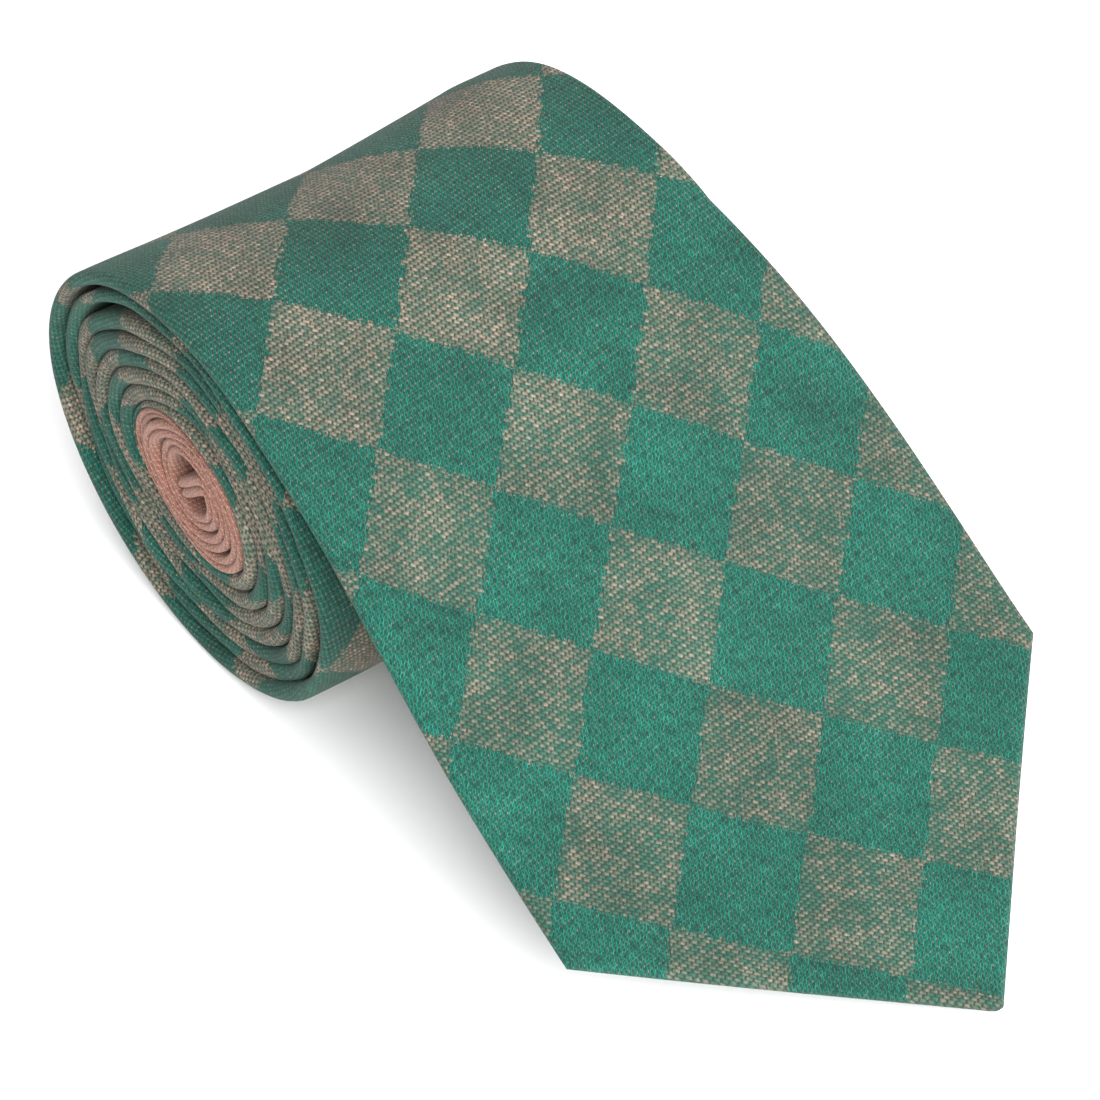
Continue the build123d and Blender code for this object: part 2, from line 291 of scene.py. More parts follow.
def half_thickness(station):
    """The layers of the roll fill its pitch, but the two outer ones stand apart above."""
    turn = station.turn
    if turn is None:
        ending = max(0.0, 1 - (TIP_END - station.free) / HALF)
        return HALF * (1 - ending ** 2) ** 0.5
    angle = roll_angle(turn)
    a, b = ROLL_A - HALF, ROLL_B - HALF
    pitch = 1 / TURNS / ((cos(angle) / a) ** 2 + (sin(angle) / b) ** 2) ** 0.5
    packed = pitch * (PACKED + wave(station.from_tip, (0.014, 37, 0.0), (0.012, 17, 1.0)))
    packed -= 0.1 * slack(angle) * smooth((turn - 4.0) / 2.0)
    loose = smooth((turn - 9.4) / 0.5) * smooth((sin(angle - 0.6) + 0.2) / 0.4)
    last = smooth((turn - (TURNS - 0.6)) / 0.4)
    thickness = packed + (HALF * LOOSE - packed) * loose
    return thickness + (HALF - thickness) * last


def lapped(station, half, lap):
    """Half thickness and middle offset where the neck's cloth laps the end of the tail's."""
    if lap is None or station.turn is None:
        return half, 0.0
    share = smooth((station.turn - (TAIL_TURN - LAP_TURNS)) / LAP_TURNS)
    if lap == "under":
        return max(THINNEST, half * (1 - share)), -half * share
    return max(THINNEST, half * share), half * (1 - share)


def opening(free):
    """The two edges of the V at the back of the point, or None where the back is closed."""
    if free is None or not TIP_AT - BACK_OPENING < free < TIP_AT - HEM:
        return None
    edges = []
    for side in (-1, 1):
        x = side * (RIGHT - SIDE_FLAP)
        low = TIP_AT - HEM - point_side(x)
        top = TIP_AT - BACK_OPENING
        if free < low:
            edges.append(x * (free - top) / (low - top))
        else:
            edges.append(TIP_X + (x - TIP_X) * (TIP_AT - HEM - free)
                         / (TIP_AT - HEM - low))
    return edges


# ================ sections of the folded tie ================
def fold_shape(double):
    """(offset share from -1 to 1, depth share) round a fold, back first. A double one has a
    crease between its two layers of cloth."""
    if not double:
        angle = np.linspace(-pi / 2, pi / 2, 11)
        return np.sin(angle), 1 - np.cos(angle)
    angle = np.linspace(-pi / 2, pi / 2, 8)
    share = 0.5 + 0.5 * np.sin(angle)
    depth = 1 - np.cos(angle)
    return (np.concatenate([share - 1, share[1:]]),
            np.concatenate([depth, depth[1:]]) * 0.55)


def cloth_section(station, double=False, lap=None):
    """x and offset round the folded shell, from the left flap's edge to the right one's, and
    the distance across the flat cloth."""
    left, right = left_edge(station), right_edge(station)
    half, middle_offset = lapped(station, half_thickness(station), lap)
    nose = min(0.75 * half + (0.35 if station.turn else 0.9), 0.42 * (right - left))
    meet = (left + right) / 2 + 0.1
    gap = opening(station.free if station.turn is None else None)
    if gap is None:
        end_left = end_right = meet
    else:
        end_left = min(max(gap[0], left + nose), meet)
        end_right = max(min(gap[1], right - nose), meet)
    share, depth = fold_shape(double)
    x = [np.linspace(end_left, left + nose, BACK_SAMPLES)[:-1], left + nose * depth]
    offset = [np.full(BACK_SAMPLES - 1, -half), half * share]
    face = np.linspace(left + nose, right - nose, FACE_SAMPLES)[1:-1]
    x += [face, right - nose * depth[::-1]]
    fade = np.clip(np.minimum(face - left - nose, right - nose - face) / 10, 0, 1)
    offset += [half + fade * ripple(face, station), half * share[::-1]]
    x.append(np.linspace(right - nose, end_right, BACK_SAMPLES)[1:])
    offset.append(np.full(BACK_SAMPLES - 1, -half))
    x, offset = np.concatenate(x), np.concatenate(offset)
    offset = offset + middle_offset + flare(x, station)
    across = np.concatenate([[0.0], np.cumsum(np.hypot(np.diff(x), np.diff(offset)))])
    first_face = BACK_SAMPLES - 1 + len(share)
    return x, offset, across - across[first_face] + x[first_face]


def ripple(x, station):
    """Gentle waves of the outer cloth, which lies soft over its interlining."""
    if station.turn is not None and station.turn < TURNS - 1.2:
        return 0 * x
    s = station.from_tip
    return (0.16 * np.sin(x / 10.5 + 0.9 * np.sin(s / 27) + 0.4)
            + 0.12 * np.sin(s / 17 + x / 21))


def flare(x, station):
    """The outer layer's right side stands a little proud over the top of the roll."""
    if station.turn is None or station.turn < TURNS - 0.55:
        return 0 * x
    place = smooth((station.turn - (TURNS - 0.48)) / 0.2)
    place *= smooth((TURNS - 0.05 - station.turn) / 0.13)
    return FLARE * place * np.clip((x + 2) / 30, 0, 1) ** 1.2


# ================ meshes ================
def put(station, x, offset):
    y = station.y - offset * sin(station.slope)
    z = station.z + offset * cos(station.slope)
    return np.stack([x * MM, CENTRE_Y + y * MM, CENTRE_Z + z * MM], 1)


def row_at(reach):
    """The check row that is reach steps from the tip. Row n is at ROW n + ROW_GROWTH n^2."""
    root = np.sqrt(ROW ** 2 + 4 * ROW_GROWTH * np.minimum(reach, GROWN))
    return (root - ROW) / (2 * ROW_GROWTH) + np.maximum(reach - GROWN, 0) / LAST_ROW


def check_uv(across, from_tip):
    """Places on the checks, counted along the two thread directions. The cut of the cloth
    isn't quite on the checks' diagonal, so they drift across the rolled part. The rows and
    the columns slant by one another, so both are found by repetition."""
    across = across + DRIFT * smooth((from_tip - FREE_LENGTH - DRIFT_FROM) / DRIFT_LENGTH)
    column = across / CHECK_STEP
    for _ in range(3):
        reach = from_tip / CHECK_STEP - ROW_SLANT * (column - SLANT_CENTRE)
        row = TIP_ROW - row_at(reach)
        column = across / CHECK_STEP - COLUMN_SLANT * (row - 6)
    column = column + FIRST_COLUMN
    return np.stack([(row + column) / 2, (row - column) / 2], 1)


def build(name, points, faces, uv, material):
    mesh = bpy.data.meshes.new(name)
    mesh.from_pydata(np.asarray(points).tolist(), [], faces)
    if uv is not None:
        layer = mesh.uv_layers.new(name="threads")
        loops = np.zeros(len(mesh.loops), np.int32)
        mesh.loops.foreach_get("vertex_index", loops)
        layer.data.foreach_set("uv", np.asarray(uv, np.float32)[loops].ravel())
    mesh.polygons.foreach_set("use_smooth", [True] * len(mesh.polygons))
    mesh.update()
    mesh.materials.append(material)
    obj = bpy.data.objects.new(name, mesh)
    bpy.context.scene.collection.objects.link(obj)
    return obj


def strip_faces(rows, columns, closed=False):
    faces = []
    for i in range(rows - 1):
        for j in range(columns if closed else columns - 1):
            k = (j + 1) % columns
            a, b = i * columns + j, i * columns + k
            faces.append((a, a + columns, b + columns, b))
    return faces


def cloth_piece(name, stations, material, double=False, lap=None):
    """The folded shell along a stretch of the tie."""
    points, uv = [], []
    for station in stations:
        x, offset, across = cloth_section(station, double, lap)
        points.append(put(station, x, offset))
        uv.append(check_uv(across, station.from_tip))
    faces = strip_faces(len(stations), len(points[0]))
    return build(name, np.concatenate(points), faces, np.concatenate(uv), material)


def slab_piece(name, stations, material, low, high):
    """A closed layer between two offsets, shares of the tie's half thickness."""
    points, uv = [], []
    for station in stations:
        left, right = left_edge(station) + LAYER_INSET, right_edge(station) - LAYER_INSET
        if right - left < LEAST_WIDTH:
            left = (left + right) / 2
            right = left + LEAST_WIDTH
        x = np.linspace(left, right, LAYER_SAMPLES)
        half = half_thickness(station)
        loop_x = np.concatenate([x, x[::-1]])
        loop_offset = np.repeat([low * half, high * half], LAYER_SAMPLES)
        points.append(put(station, loop_x, loop_offset))
        uv.append(check_uv(loop_x, station.from_tip))
    columns = 2 * LAYER_SAMPLES
    faces = strip_faces(len(stations), columns, closed=True)
    faces.append(tuple(range(columns)))
    last = (len(stations) - 1) * columns
    faces.append(tuple(reversed(range(last, last + columns))))
    return build(name, np.concatenate(points), faces, np.concatenate(uv), material)


def tube(points_list, radius):
    """Points and faces of a closed round thread through points in metres."""
    line = [Vector(p) for p in points_list]
    points, faces = [], []
    for i, p in enumerate(line):
        along = (line[min(i + 1, len(line) - 1)] - line[max(i - 1, 0)]).normalized()
        side = along.cross(Vector((0.31, 0.17, 0.93))).normalized()
        up = side.cross(along)
        size = radius * MM * (END_TAPER if i in (0, len(line) - 1) else 1.0)
        for k in range(TUBE_SIDES):
            angle = 2 * pi * k / TUBE_SIDES
            points.append(p + (side * cos(angle) + up * sin(angle)) * size)
    last = (len(line) - 1) * TUBE_SIDES
    for a in range(0, last, TUBE_SIDES):
        for k in range(TUBE_SIDES):
            b = (k + 1) % TUBE_SIDES
            faces.append((a + k, a + b, a + b + TUBE_SIDES, a + k + TUBE_SIDES))
    faces.append(tuple(reversed(range(TUBE_SIDES))))
    faces.append(tuple(range(last, last + TUBE_SIDES)))
    return points, faces


def thread_piece(name, lines, radius, material):
    """Several short threads as one piece; each line is a list of points in metres."""
    points, faces = [], []
    for line in lines:
        more, ring = tube(line, radius)
        faces += [tuple(i + len(points) for i in face) for face in ring]
        points += more
    return build(name, [tuple(p) for p in points], faces, None, material)


# ================ materials ================
class Nodes:
    """Makes a material's nodes; numbers and sockets can be mixed in the arguments."""

    def __init__(self, name, roughness, sheen=0.0, sheen_tint=(1, 1, 1), sheen_roughness=0.5):
        self.material = bpy.data.materials.new(name)
        self.material.use_nodes = True
        self.tree = self.material.node_tree
        self.shader = self.tree.nodes["Principled BSDF"]
        self.shader.inputs["Roughness"].default_value = roughness
        self.shader.inputs["Specular IOR Level"].default_value = 0.25
        self.shader.inputs["Sheen Weight"].default_value = sheen
        self.shader.inputs["Sheen Roughness"].default_value = sheen_roughness
        self.shader.inputs["Sheen Tint"].default_value = (*sheen_tint, 1)

    def link(self, value, socket):
        if isinstance(value, bpy.types.NodeSocket):
            self.tree.links.new(value, socket)
        else:
            socket.default_value = value

    def math(self, operation, *values):
        node = self.tree.nodes.new("ShaderNodeMath")
        node.operation = operation
        for value, socket in zip(values, node.inputs):
            self.link(value, socket)
        return node.outputs[0]

    def mix(self, share, a, b, blend="MIX"):
        node = self.tree.nodes.new("ShaderNodeMix")
        node.data_type = "RGBA"
        node.blend_type = blend
        self.link(share, node.inputs["Factor"])
        self.link(a, node.inputs[6])
        self.link(b, node.inputs[7])
        return node.outputs[2]

    def vector(self, x=0.0, y=0.0, z=0.0):
        node = self.tree.nodes.new("ShaderNodeCombineXYZ")
        for value, socket in zip((x, y, z), node.inputs):
            self.link(value, socket)
        return node.outputs[0]

    def split(self, vector):
        node = self.tree.nodes.new("ShaderNodeSeparateXYZ")
        self.link(vector, node.inputs[0])
        return node.outputs

    def threads(self):
        node = self.tree.nodes.new("ShaderNodeUVMap")
        node.uv_map = "threads"
        return node.outputs[0]

    def place(self):
        """Object coordinates in millimetres."""
        node = self.tree.nodes.new("ShaderNodeTexCoord")
        scale = self.tree.nodes.new("ShaderNodeVectorMath")
        scale.operation = "SCALE"
        self.link(node.outputs["Object"], scale.inputs[0])
        scale.inputs["Scale"].default_value = 1 / MM
        return scale.outputs[0]

    def noise(self, vector, scale, detail=2.0, distortion=0.0):
        node = self.tree.nodes.new("ShaderNodeTexNoise")
        self.link(vector, node.inputs["Vector"])
        node.inputs["Scale"].default_value = scale
        node.inputs["Detail"].default_value = detail
        node.inputs["Distortion"].default_value = distortion
        return node.outputs["Fac"]

    def random(self, *values):
        node = self.tree.nodes.new("ShaderNodeTexWhiteNoise")
        node.noise_dimensions = "3D"
        self.link(self.vector(*values), node.inputs["Vector"])
        return node.outputs["Value"]

    def between(self, value, low, high):
        """0 at low, 1 at high, smoothly."""
        node = self.tree.nodes.new("ShaderNodeMapRange")
        node.interpolation_type = "SMOOTHSTEP"
        self.link(value, node.inputs["Value"])
        node.inputs["From Min"].default_value = low
        node.inputs["From Max"].default_value = high
        return node.outputs["Result"]

    def shifted(self, value, by, amount):
        """A value moved by up to half the amount either way, as something from 0 to 1 says."""
        shift = self.math("MULTIPLY", self.math("SUBTRACT", by, 0.5), amount)
        return self.math("ADD", value, shift)

    def finish(self, colour, height, depth):
        """Joins the colour and a height between 0 and 1, depth mm deep."""
        bump = self.tree.nodes.new("ShaderNodeBump")
        bump.inputs["Strength"].default_value = 1.0
        bump.inputs["Distance"].default_value = depth * MM
        self.link(height, bump.inputs["Height"])
        self.link(bump.outputs[0], self.shader.inputs["Normal"])
        self.link(colour, self.shader.inputs["Base Color"])
        return self.material


def linear(red, green, blue):
    """A colour given from 0 to 255, as a shader takes it."""
    return tuple((c / 255 / 12.92) if c <= 10 else ((c / 255 + 0.055) / 1.055) ** 2.4
                 for c in (red, green, blue)) + (1.0,)


def satin(n, i, j, warps, wefts, face):
    """The five-end satin weave. face is 1 where the weft covers, 0 where the warp does.
    Returns what share of weft shows, the height of the threads, and their numbers."""
    a, b = n.math("MULTIPLY", i, warps), n.math("MULTIPLY", j, wefts)
    warp, weft = n.math("FLOOR", a), n.math("FLOOR", b)
    run = n.math("ADD", a, n.math("MULTIPLY", weft, 2.0))
    run = n.math("FRACT", n.math("DIVIDE", run, ENDS))
    rise = n.math("ADD", b, n.math("MULTIPLY", warp, 3.0))
    rise = n.math("FRACT", n.math("DIVIDE", rise, ENDS))
    bound = n.math("LESS_THAN", run, BINDING)
    over = n.math("ABSOLUTE", n.math("SUBTRACT", face, bound))

    def arch(phase):
        """Height along a thread: a short arch at the binding, a long one over the float."""
        short = n.math("SINE", n.math("MULTIPLY", phase, pi / BINDING))
        past = n.math("SUBTRACT", phase, BINDING)
        long = n.math("SINE", n.math("MULTIPLY", past, pi / (1 - BINDING)))
        low = n.math("LESS_THAN", phase, BINDING)
        both = n.math("ADD", n.math("MULTIPLY", short, low),
                      n.math("MULTIPLY", long, n.math("SUBTRACT", 1.0, low)))
        return n.math("POWER", n.math("ABSOLUTE", both), 0.8)

    def round_thread(position):
        centred = n.math("SUBTRACT", n.math("FRACT", position), 0.5)
        return n.math("COSINE", n.math("MULTIPLY", centred, pi))

    weft_height = n.math("MULTIPLY", arch(run), round_thread(b))
    warp_height = n.math("MULTIPLY", arch(rise), n.math("POWER", round_thread(a), 0.6))
    height = n.math("ADD", n.math("MULTIPLY", weft_height, over),
                    n.math("MULTIPLY", warp_height, n.math("SUBTRACT", 1.0, over)))
    return over, height, warp, weft


def wavering_threads(n):
    """Places on the checks whose threads waver, slowly over a check and finely as well."""
    i, j, _ = n.split(n.threads())
    i = n.shifted(i, n.noise(n.vector(i, j), 1.1), 0.05)
    i = n.shifted(i, n.noise(n.vector(i, j, 2.2), 40.0), 0.016)
    j = n.shifted(j, n.noise(n.vector(j, i, 3.7), 1.3), 0.05)
    j = n.shifted(j, n.noise(n.vector(j, i, 6.1), 40.0), 0.016)
    return i, j


def check_faces(n, i, j):
    """1 in the pale checks and 0 in the green ones, whose edges are ragged by the thread."""
    warp = n.math("FLOOR", n.math("MULTIPLY", i, WARPS))
    weft = n.math("FLOOR", n.math("MULTIPLY", j, WEFTS))
    tiles = n.math("ADD", n.math("FLOOR", n.shifted(i, n.random(weft, 1.3), 0.055)),
                   n.math("FLOOR", n.shifted(j, n.random(warp, 7.1), 0.05)))
    return n.math("SUBTRACT", 1.0, n.math("FLOORED_MODULO", tiles, 2.0))


def weft_tone(n, i, j, weft, slub, along):
    """The pale melange weft, drifting in tone along each thread, with painted sheen: greener at
    the tip.
    """
    pale = n.mix(n.between(slub, 0.32, 0.66), linear(*WEFT_DARK), linear(*WEFT_PALE))
    blush = n.noise(n.vector(n.math("MULTIPLY", i, 13.0), weft, 4.4), 1.0, 3.0)
    cloud = n.noise(n.vector(i, j, 5.3), 3.0, 3.0)
    greenish = n.math("MULTIPLY", n.between(blush, 0.38, 0.6), 0.5)
    greenish = n.math("ADD", greenish, n.math("MULTIPLY", n.between(cloud, 0.35, 0.65), 0.2))
    # painted sheen: the weft is painted greener towards the tip than in the roll
    return n.mix(n.math("ADD", greenish, along), pale, linear(*WEFT_GREEN))


def warp_tone(n, j, warp, along):
    """The green warp, with painted shade that darkens it in the roll."""
    streak = n.noise(n.vector(warp, n.math("MULTIPLY", j, 12.0)), 1.0, 3.0)
    green = n.mix(n.between(streak, 0.3, 0.7), linear(*WARP_DARK), linear(*WARP_BRIGHT))
    # painted shade: the warp is darkened in the roll
    return n.mix(n.math("SUBTRACT", PAINTED_SHEEN_SHIFT, along), green, linear(*WARP_DARK))


def mottled(n, colour, i, j):
    """A colour with cloudy patches and the fuzz of its fibres."""
    fuzz = n.noise(n.vector(n.math("MULTIPLY", i, 60.0), n.math("MULTIPLY", j, 90.0)), 1.0)
    patch = n.noise(n.vector(i, j, 9.0), 1.5, 4.0)
    tone = n.math("ADD", n.math("MULTIPLY", patch, 1.1), n.math("MULTIPLY", fuzz, 1.1))
    tone = n.math("ADD", -0.1, tone)
    return n.mix(1.0, colour, n.vector(tone, tone, tone), "MULTIPLY")


def check_material():
    n = Nodes("check_cloth", 0.82, sheen=0.08, sheen_tint=(0.93, 0.9, 0.84), sheen_roughness=0.45)
    i, j = wavering_threads(n)
    face = check_faces(n, i, j)
    over, height, warp, weft = satin(n, i, j, WARPS, WEFTS, face)
    slub = n.noise(n.vector(n.math("MULTIPLY", i, 18.0), weft), 1.0, 4.0)
    # painted sheen and shade, none in the roll and full towards the tip
    along = n.math("MULTIPLY", n.between(n.math("ADD", i, j), 1.0, 6.0), PAINTED_SHEEN_SHIFT)
    pale = weft_tone(n, i, j, weft, slub, along)
    under = n.mix(face, warp_tone(n, j, warp, along), linear(*UNDER_PALE))
    speck = n.math("MULTIPLY", slub, 1.05)
    cover = n.math("MULTIPLY", over, n.math("MAXIMUM", speck, n.math("MULTIPLY", face, 0.95)))
    colour = n.mix(cover, under, pale)
    # painted shade: the hollows between the threads are darkened to a deep green, less in the
    # pale checks
    painted_hollow_shade = n.math("SUBTRACT", 1.0, n.between(height, 0.0, 0.8))
    gap = n.math("SUBTRACT", 0.8, n.math("MULTIPLY", face, 0.35))
    colour = n.mix(n.math("MULTIPLY", painted_hollow_shade, gap), colour, linear(*HOLLOW_SHADE_GREEN))
    return n.finish(mottled(n, colour, i, j), height, 0.12)


def copper_material():
    n = Nodes("copper_cloth", 0.7, sheen=0.3, sheen_tint=(1.0, 0.86, 0.78), sheen_roughness=0.4)
    i, j, _ = n.split(n.threads())
    over, height, _, weft = satin(n, i, j, COPPER_WARPS, COPPER_WEFTS, 0.0)
    slub = n.noise(n.vector(n.math("MULTIPLY", i, 9.0), weft), 1.0)
    base = n.mix(n.between(slub, 0.3, 0.7), linear(*COPPER_DARK), linear(*COPPER_BRIGHT))
    base = n.mix(n.math("MULTIPLY", over, 0.55), base, linear(*COPPER_WEFT))
    # painted shade: the copper weave's hollows are darkened
    painted_hollow_shade = n.math("SUBTRACT", 1.0, n.between(height, 0.0, 0.7))
    colour = n.mix(n.math("MULTIPLY", painted_hollow_shade, 0.7), base, linear(*COPPER_HOLLOW_SHADE))
    return n.finish(colour, height, 0.16)


def interlining_material():
    n = Nodes("interlining_wool", 0.95, sheen=0.2)
    place = n.place()
    fibres = n.noise(place, 2.2, 4.0, 1.5)
    clumps = n.noise(place, 0.5, 3.0)
    colour = n.mix(n.between(fibres, 0.25, 0.75), linear(196, 188, 170), linear(228, 222, 206))
    colour = n.mix(n.math("MULTIPLY", n.between(clumps, 0.4, 0.8), 0.3), colour,
                   linear(176, 166, 148))
    return n.finish(colour, fibres, 0.25)


def lining_material(name, dark, bright, pitch, sheen):
    """Smooth twill for the tipping, the label and the tag, with its ribs pitch mm apart."""
    n = Nodes(name, 0.45, sheen=sheen, sheen_roughness=0.3)
    x, y, z = n.split(n.place())
    along = n.math("ADD", y, z)
    rib = n.math("ADD", n.math("MULTIPLY", x, 2 * pi / pitch),
                 n.math("MULTIPLY", along, 1.2 * pi / pitch))
    rib = n.math("ADD", n.math("MULTIPLY", n.math("SINE", rib), 0.5), 0.5)
    tone = n.noise(n.vector(x, n.math("MULTIPLY", along, 0.2), 0.0), 1.4, 3.0)
    colour = n.mix(n.between(tone, 0.3, 0.7), linear(*dark), linear(*bright))
    colour = n.mix(n.math("MULTIPLY", rib, 0.25), colour, linear(*dark))
    return n.finish(colour, rib, 0.06)


def thread_material():
    n = Nodes("thread", 0.5, sheen=0.3)
    x, y, z = n.split(n.place())
    twist = n.math("SINE", n.math("MULTIPLY", n.math("ADD", x, n.math("ADD", y, z)), 14.0))
    twist = n.math("ADD", n.math("MULTIPLY", twist, 0.5), 0.5)
    tone = n.noise(n.place(), 3.0, 2.0)
    # painted shade and highlight: darker in the twist's grooves, brighter on its ridges
    colour = n.mix(twist, linear(20, 66, 56), linear(46, 112, 96))
    colour = n.mix(n.math("MULTIPLY", tone, 0.3), colour, linear(30, 80, 68))
    return n.finish(colour, twist, 0.05)


def floor_material():
    n = Nodes("floor_paper", 0.9)
    grain = n.noise(n.place(), 0.6, 4.0)
    colour = n.mix(grain, linear(250, 250, 250), linear(253, 253, 253))
    return n.finish(colour, grain, 0.01)


# ================ the scene ================
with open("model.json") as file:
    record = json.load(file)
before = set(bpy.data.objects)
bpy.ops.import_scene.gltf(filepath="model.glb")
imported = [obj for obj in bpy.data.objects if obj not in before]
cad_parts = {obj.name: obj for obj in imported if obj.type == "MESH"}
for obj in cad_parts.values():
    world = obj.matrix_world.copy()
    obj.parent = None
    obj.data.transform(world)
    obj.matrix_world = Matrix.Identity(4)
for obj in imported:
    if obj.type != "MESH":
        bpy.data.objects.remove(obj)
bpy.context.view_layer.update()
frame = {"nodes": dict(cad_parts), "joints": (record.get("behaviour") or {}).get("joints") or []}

# the roll's centre line, found from the hinge on the face of the blade where it leaves
hinge = next(j for j in frame["joints"] if j["name"] == "blade_lift")["pos_m"]
hinge_y, hinge_z, hinge_slope = free_point(LIFT_AT)
CENTRE_Y = hinge[1] - (hinge_y - HALF * sin(hinge_slope)) * MM
CENTRE_Z = hinge[2] - (hinge_z + HALF * cos(hinge_slope)) * MM

check = check_material()
copper = copper_material()
wool = interlining_material()
tipping = lining_material("tipping_satin", (58, 92, 82), (84, 124, 112), 0.55, 0.4)
label_satin = lining_material("label_satin", (196, 186, 160), (222, 214, 194), 0.4, 0.4)
tag_satin = lining_material("tag_satin", (214, 214, 210), (238, 238, 234), 0.35, 0.4)
thread = thread_material()


def bend_between(obj, a, b, at):
    """Works out the hinge's place and bakes the piece's transform into its mesh; it is not bent.
    """
    start = outward(free_point(at), HALF)
    slope = free_point(at)[2]
    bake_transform(obj)


def flat_size(stations, width_of):
    """Width, length and area in metres of the flat cloth for a stretch of the tie."""
    widths = np.array([width_of(s) for s in stations])
    lengths = np.abs(np.diff([s.from_tip for s in stations]))
    area = float(((widths[1:] + widths[:-1]) / 2 * lengths).sum())
    return (widths.max() * MM, lengths.sum() * MM), area * MM * MM


def shell_width(station):
    """The flat cloth goes across the face, round both folds and back to its two edges."""
    x, offset, _ = cloth_section(station)
    return float(np.hypot(np.diff(x), np.diff(offset)).sum())


def layer_width(station):
    return max(0.5, right_edge(station) - left_edge(station) - 2 * LAYER_INSET)


def declare(obj, stations, width_of, held, rests_on, slot, body=None, bend=None, replaces=()):
    """Attaches a layer to its body or passes it to bend_between, and hides the CAD nodes it
    replaces.
    """
    flat, area = flat_size(stations, width_of)
    if bend:
        bend_between(obj, *bend)
    else:
        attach(obj, body)
    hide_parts(*replaces)
    return obj


LIFT = ("roll", "free_blade", LIFT_AT)
POINT = ("free_blade", "blade_point", FOLD_AT)

# ---- stretches of the tie ----
tail_run = core_stations(0.8) + wound_stations(CORE_TURN + 0.04, TAIL_TURN, 1.2)
neck_run = wound_stations(TAIL_TURN - LAP_TURNS, NECK_TURN, 2.0)
blade_run = wound_stations(NECK_TURN, SPLIT_TURN, 2.2)
top_run = wound_stations(SPLIT_TURN, TURNS, 1.6)
free_run = top_run[:-1] + free_stations(0.0, SPLIT_AT, 1.6)
closing = TIP_END - CLOSING * (1 - np.sin(np.linspace(0, pi / 2, 8)))
point_run = free_stations(SPLIT_AT, closing[0], 1.3)
point_run += [Station(free_point(f), FREE_LENGTH - f) for f in closing[1:]]

# ---- shell cloth ----
declare(cloth_piece("tail_cloth", tail_run, copper, True, "under"), tail_run, shell_width,
        "folded", ["tail_interlining_layer"], "tail_cloth", body="roll", replaces=["tail_shell"])
declare(cloth_piece("neck_cloth", neck_run, check, False, "over"), neck_run, shell_width,
        "folded", ["tail_cloth"], "check_cloth", body="roll", replaces=["neck_shell"])
declare(cloth_piece("blade_cloth_rolled", blade_run, check), blade_run, shell_width,
        "folded", ["neck_cloth"], "check_cloth", body="roll", replaces=["blade_shell_wound"])
declare(cloth_piece("blade_cloth_free", free_run, check), free_run, shell_width,
        "folded", ["blade_cloth_rolled"], "check_cloth", bend=LIFT,
        replaces=["blade_shell_free"])
declare(cloth_piece("blade_cloth_point", point_run, check), point_run, shell_width,
        "folded", ["blade_tipping_point"], "check_cloth", bend=POINT, replaces=["point_shell"])

# ---- interlining and tipping inside it ----
tail_lining_run = wound_stations(CORE_TURN + 0.1, TAIL_TIPPING_TURN, 2.5)
core_wool_run = wound_stations(CORE_TURN + 0.1, INTERLINING_JOIN, 2.5)
blade_wool_run = wound_stations(INTERLINING_JOIN, SPLIT_TURN, 3.0)
lining_run = [s for s in point_run if s.free <= TIP_END - 2 * CLOSING]


def wool_layer(name, run, rests_on, **how):
    piece = slab_piece(name, run, wool, -0.34, 0.55)
    declare(piece, run, layer_width, "folded", rests_on, "interlining", **how)


def tipping_layer(name, run, **how):
    piece = slab_piece(name, run, tipping, -0.56, -0.40)
    declare(piece, run, layer_width, "laid", [], "tipping", **how)


wool_layer("tail_interlining_layer", core_wool_run, ["tail_cloth"], body="roll",
           replaces=["tail_interlining"])
wool_layer("blade_interlining_rolled", blade_wool_run, ["blade_cloth_rolled"], body="roll",
           replaces=["blade_interlining_wound"])
wool_layer("blade_interlining_layer", free_run, ["blade_cloth_free"], bend=LIFT,
           replaces=["blade_interlining_free"])
wool_layer("point_interlining_layer", lining_run, ["blade_tipping_point"], bend=POINT,
           replaces=["point_interlining"])
tipping_layer("tail_tipping_layer", tail_lining_run, body="roll", replaces=["tail_tipping"])
tipping_layer("blade_tipping_layer", free_run, bend=LIFT,
              replaces=["blade_tipping_wound", "blade_tipping_free"])
tipping_layer("blade_tipping_point", lining_run, bend=POINT, replaces=["point_tipping"])


# ---- threads at the back of the blade ----
def back_point(free, x, lift=0.0):
    """A place on the back of the free blade, in metres."""
    y, z, slope = free_point(free)
    place = outward((y, z, slope), -HALF - lift)
    place.x = x * MM
    return place


def slip_stitches():
    """The back seam's stitches: short slanting threads across the joint of the two sides."""
    lines = []
    for k in range(9):
        f = 1.5 + 3.0 * k
        middle = (LEFT + right_edge(Station(free_point(f), FREE_LENGTH - f))) / 2
        lines.append([back_point(f + 1.9 * u, middle + 1.1 * (u - 0.5), 0.14 * sin(pi * u))
                      for u in np.linspace(0, 1, 6)])
    return lines


def bar_tack(at):
    """A dense bar of threads across the top of the V."""
    lines = []
    for k in range(4):
        f = at + 0.45 * k
        lines.append([back_point(f + 0.1 * sin(6 * u), 9.0 * (u - 0.5), 0.16 * sin(pi * u) + 0.05)
                      for u in np.linspace(0, 1, 9)])
    for k in range(15):
        x = -4.2 + 0.6 * k
        lines.append([back_point(at - 0.25 + 1.9 * u, x + 0.15 * u, 0.30 * sin(pi * u))
                      for u in np.linspace(0, 1, 6)])
    return lines


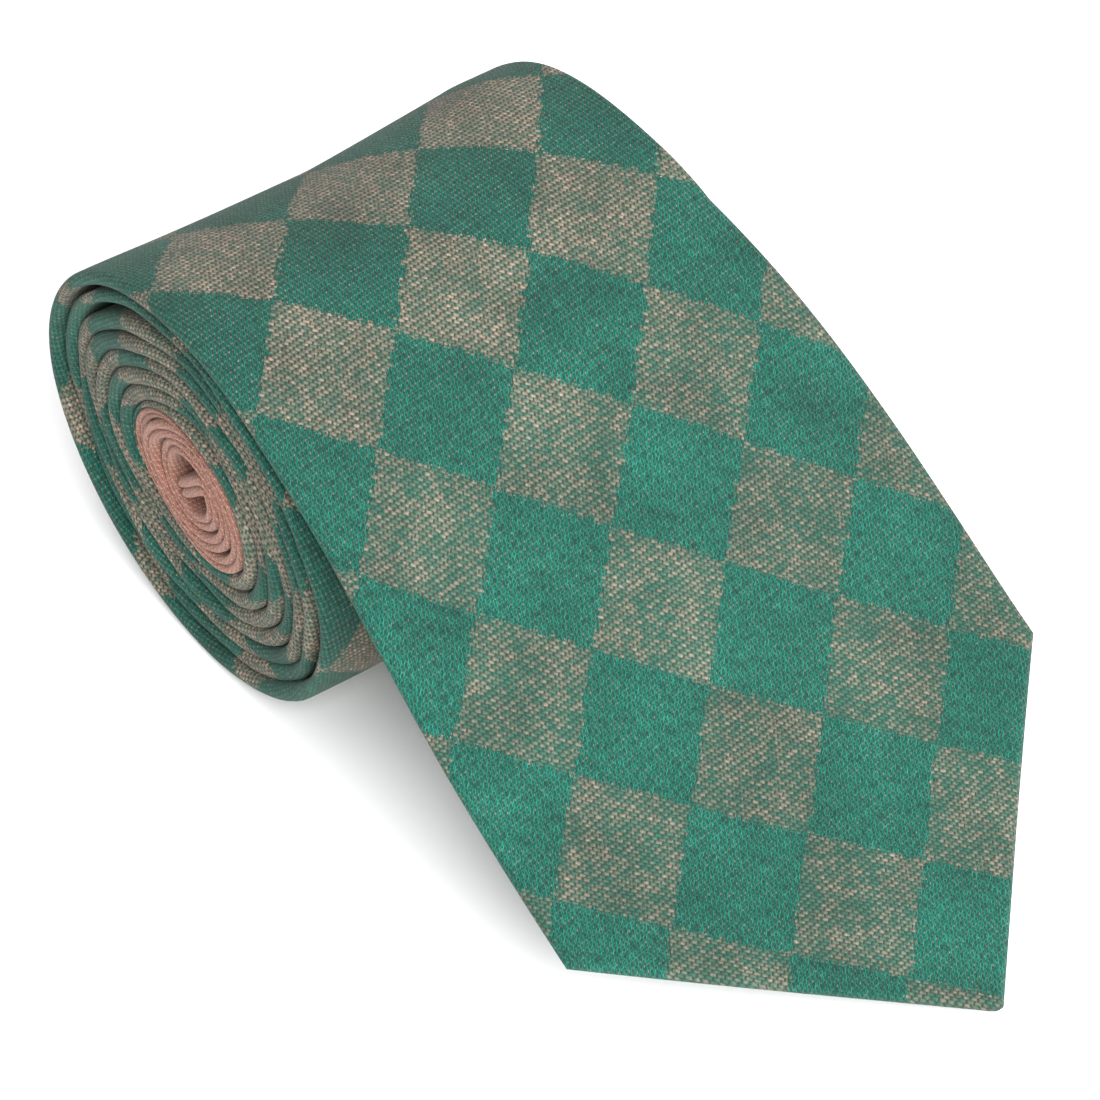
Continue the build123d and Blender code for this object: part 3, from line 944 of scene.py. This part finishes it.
def hem_stitches():
    """Small stitches that hold the tipping along the two sides of the point."""
    lines = []
    for k in (*range(-11, 0), *range(1, 12)):
        x = TIP_X + k * HEM_STITCH_PITCH
        f = TIP_AT - HEM - 0.5 - point_side(x)
        lines.append([back_point(f + 1.5 * (u - 0.5), x + 0.7 * (u - 0.5),
                                 0.2 * sin(pi * u) - 0.12) for u in np.linspace(0, 1, 5)])
    return lines


seam = thread_piece("back_seam_stitches", slip_stitches(), 0.13, thread)
bend_between(seam, *LIFT)
tack = thread_piece("back_bar_tack", bar_tack(TIP_AT - BACK_OPENING - 2.5), 0.14, thread)
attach(tack, "free_blade")
hem = thread_piece("hem_stitches", hem_stitches(), 0.12, thread)
bend_between(hem, *POINT)
for piece, node in ((seam, "slip_stitch_free"), (tack, "front_bar_tack"),
                    (hem, "point_hem_stitches")):
    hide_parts(node)

# ---- CAD nodes that stay get their finish ----
KEPT = {"slip_stitch_wound": thread, "tail_bar_tack": thread, "tail_seam_stitches": thread,
        "neck_seam_stitches": thread, "keeper_tacks": thread, "keeper_loop": label_satin,
        "label_patch": label_satin, "care_tag": tag_satin}
for node, material in KEPT.items():
    mesh = frame["nodes"][node].data
    mesh.materials.clear()
    mesh.materials.append(material)


# ================ floor, light and camera ================
def floor():
    """A sheet of paper on the table, just under the cloth's lowest ripple."""
    size, columns = 3.0, 25
    side = np.linspace(-size / 2, size / 2, columns)
    points = [(x, y, 0.0) for x in side for y in side]
    obj = build("floor", points, strip_faces(columns, columns), None, floor_material())
    obj.location.z = -0.0006


def soft_light(name, place, aim, size, power):
    data = bpy.data.lights.new(name, "AREA")
    data.shape = "SQUARE"
    data.size = size
    data.energy = power
    obj = bpy.data.objects.new(name, data)
    bpy.context.scene.collection.objects.link(obj)
    obj.location = place
    obj.rotation_mode = "QUATERNION"
    obj.rotation_quaternion = (Vector(aim) - Vector(place)).to_track_quat("-Z", "Y")


def surroundings(strength):
    world = bpy.data.worlds.new("studio")
    bpy.context.scene.world = world
    world.use_nodes = True
    background = world.node_tree.nodes["Background"]
    background.inputs["Color"].default_value = (1.0, 1.0, 1.0, 1)
    background.inputs["Strength"].default_value = strength


def camera(azimuth, elevation, roll, position, lens):
    a, e = radians(azimuth), radians(elevation)
    back = Vector((sin(a) * cos(e), -cos(a) * cos(e), sin(e)))
    right = Vector((cos(a), sin(a), 0.0))
    up = back.cross(right)
    turn = radians(roll)
    right, up = right * cos(turn) + up * sin(turn), up * cos(turn) - right * sin(turn)
    data = bpy.data.cameras.new("camera")
    data.sensor_width = 36.0
    data.lens = lens
    data.clip_start, data.clip_end = 0.05, 20.0
    obj = bpy.data.objects.new("camera", data)
    bpy.context.scene.collection.objects.link(obj)
    obj.matrix_world = Matrix((right, up, back)).transposed().to_4x4()
    obj.location = position
    bpy.context.scene.camera = obj


floor()
surroundings(0.8)
soft_light("key", (-0.25, -1.1, 0.85), (0.0, -0.02, 0.02), 0.9, 36.0)
soft_light("fill", (0.9, -0.3, 0.9), (0.0, 0.0, 0.02), 1.2, 6.0)
camera(-33.35, 42.51, -2.53, (-0.2632, -0.3841, 0.4585), 137.8)
bpy.context.scene.view_settings.view_transform = "Standard"
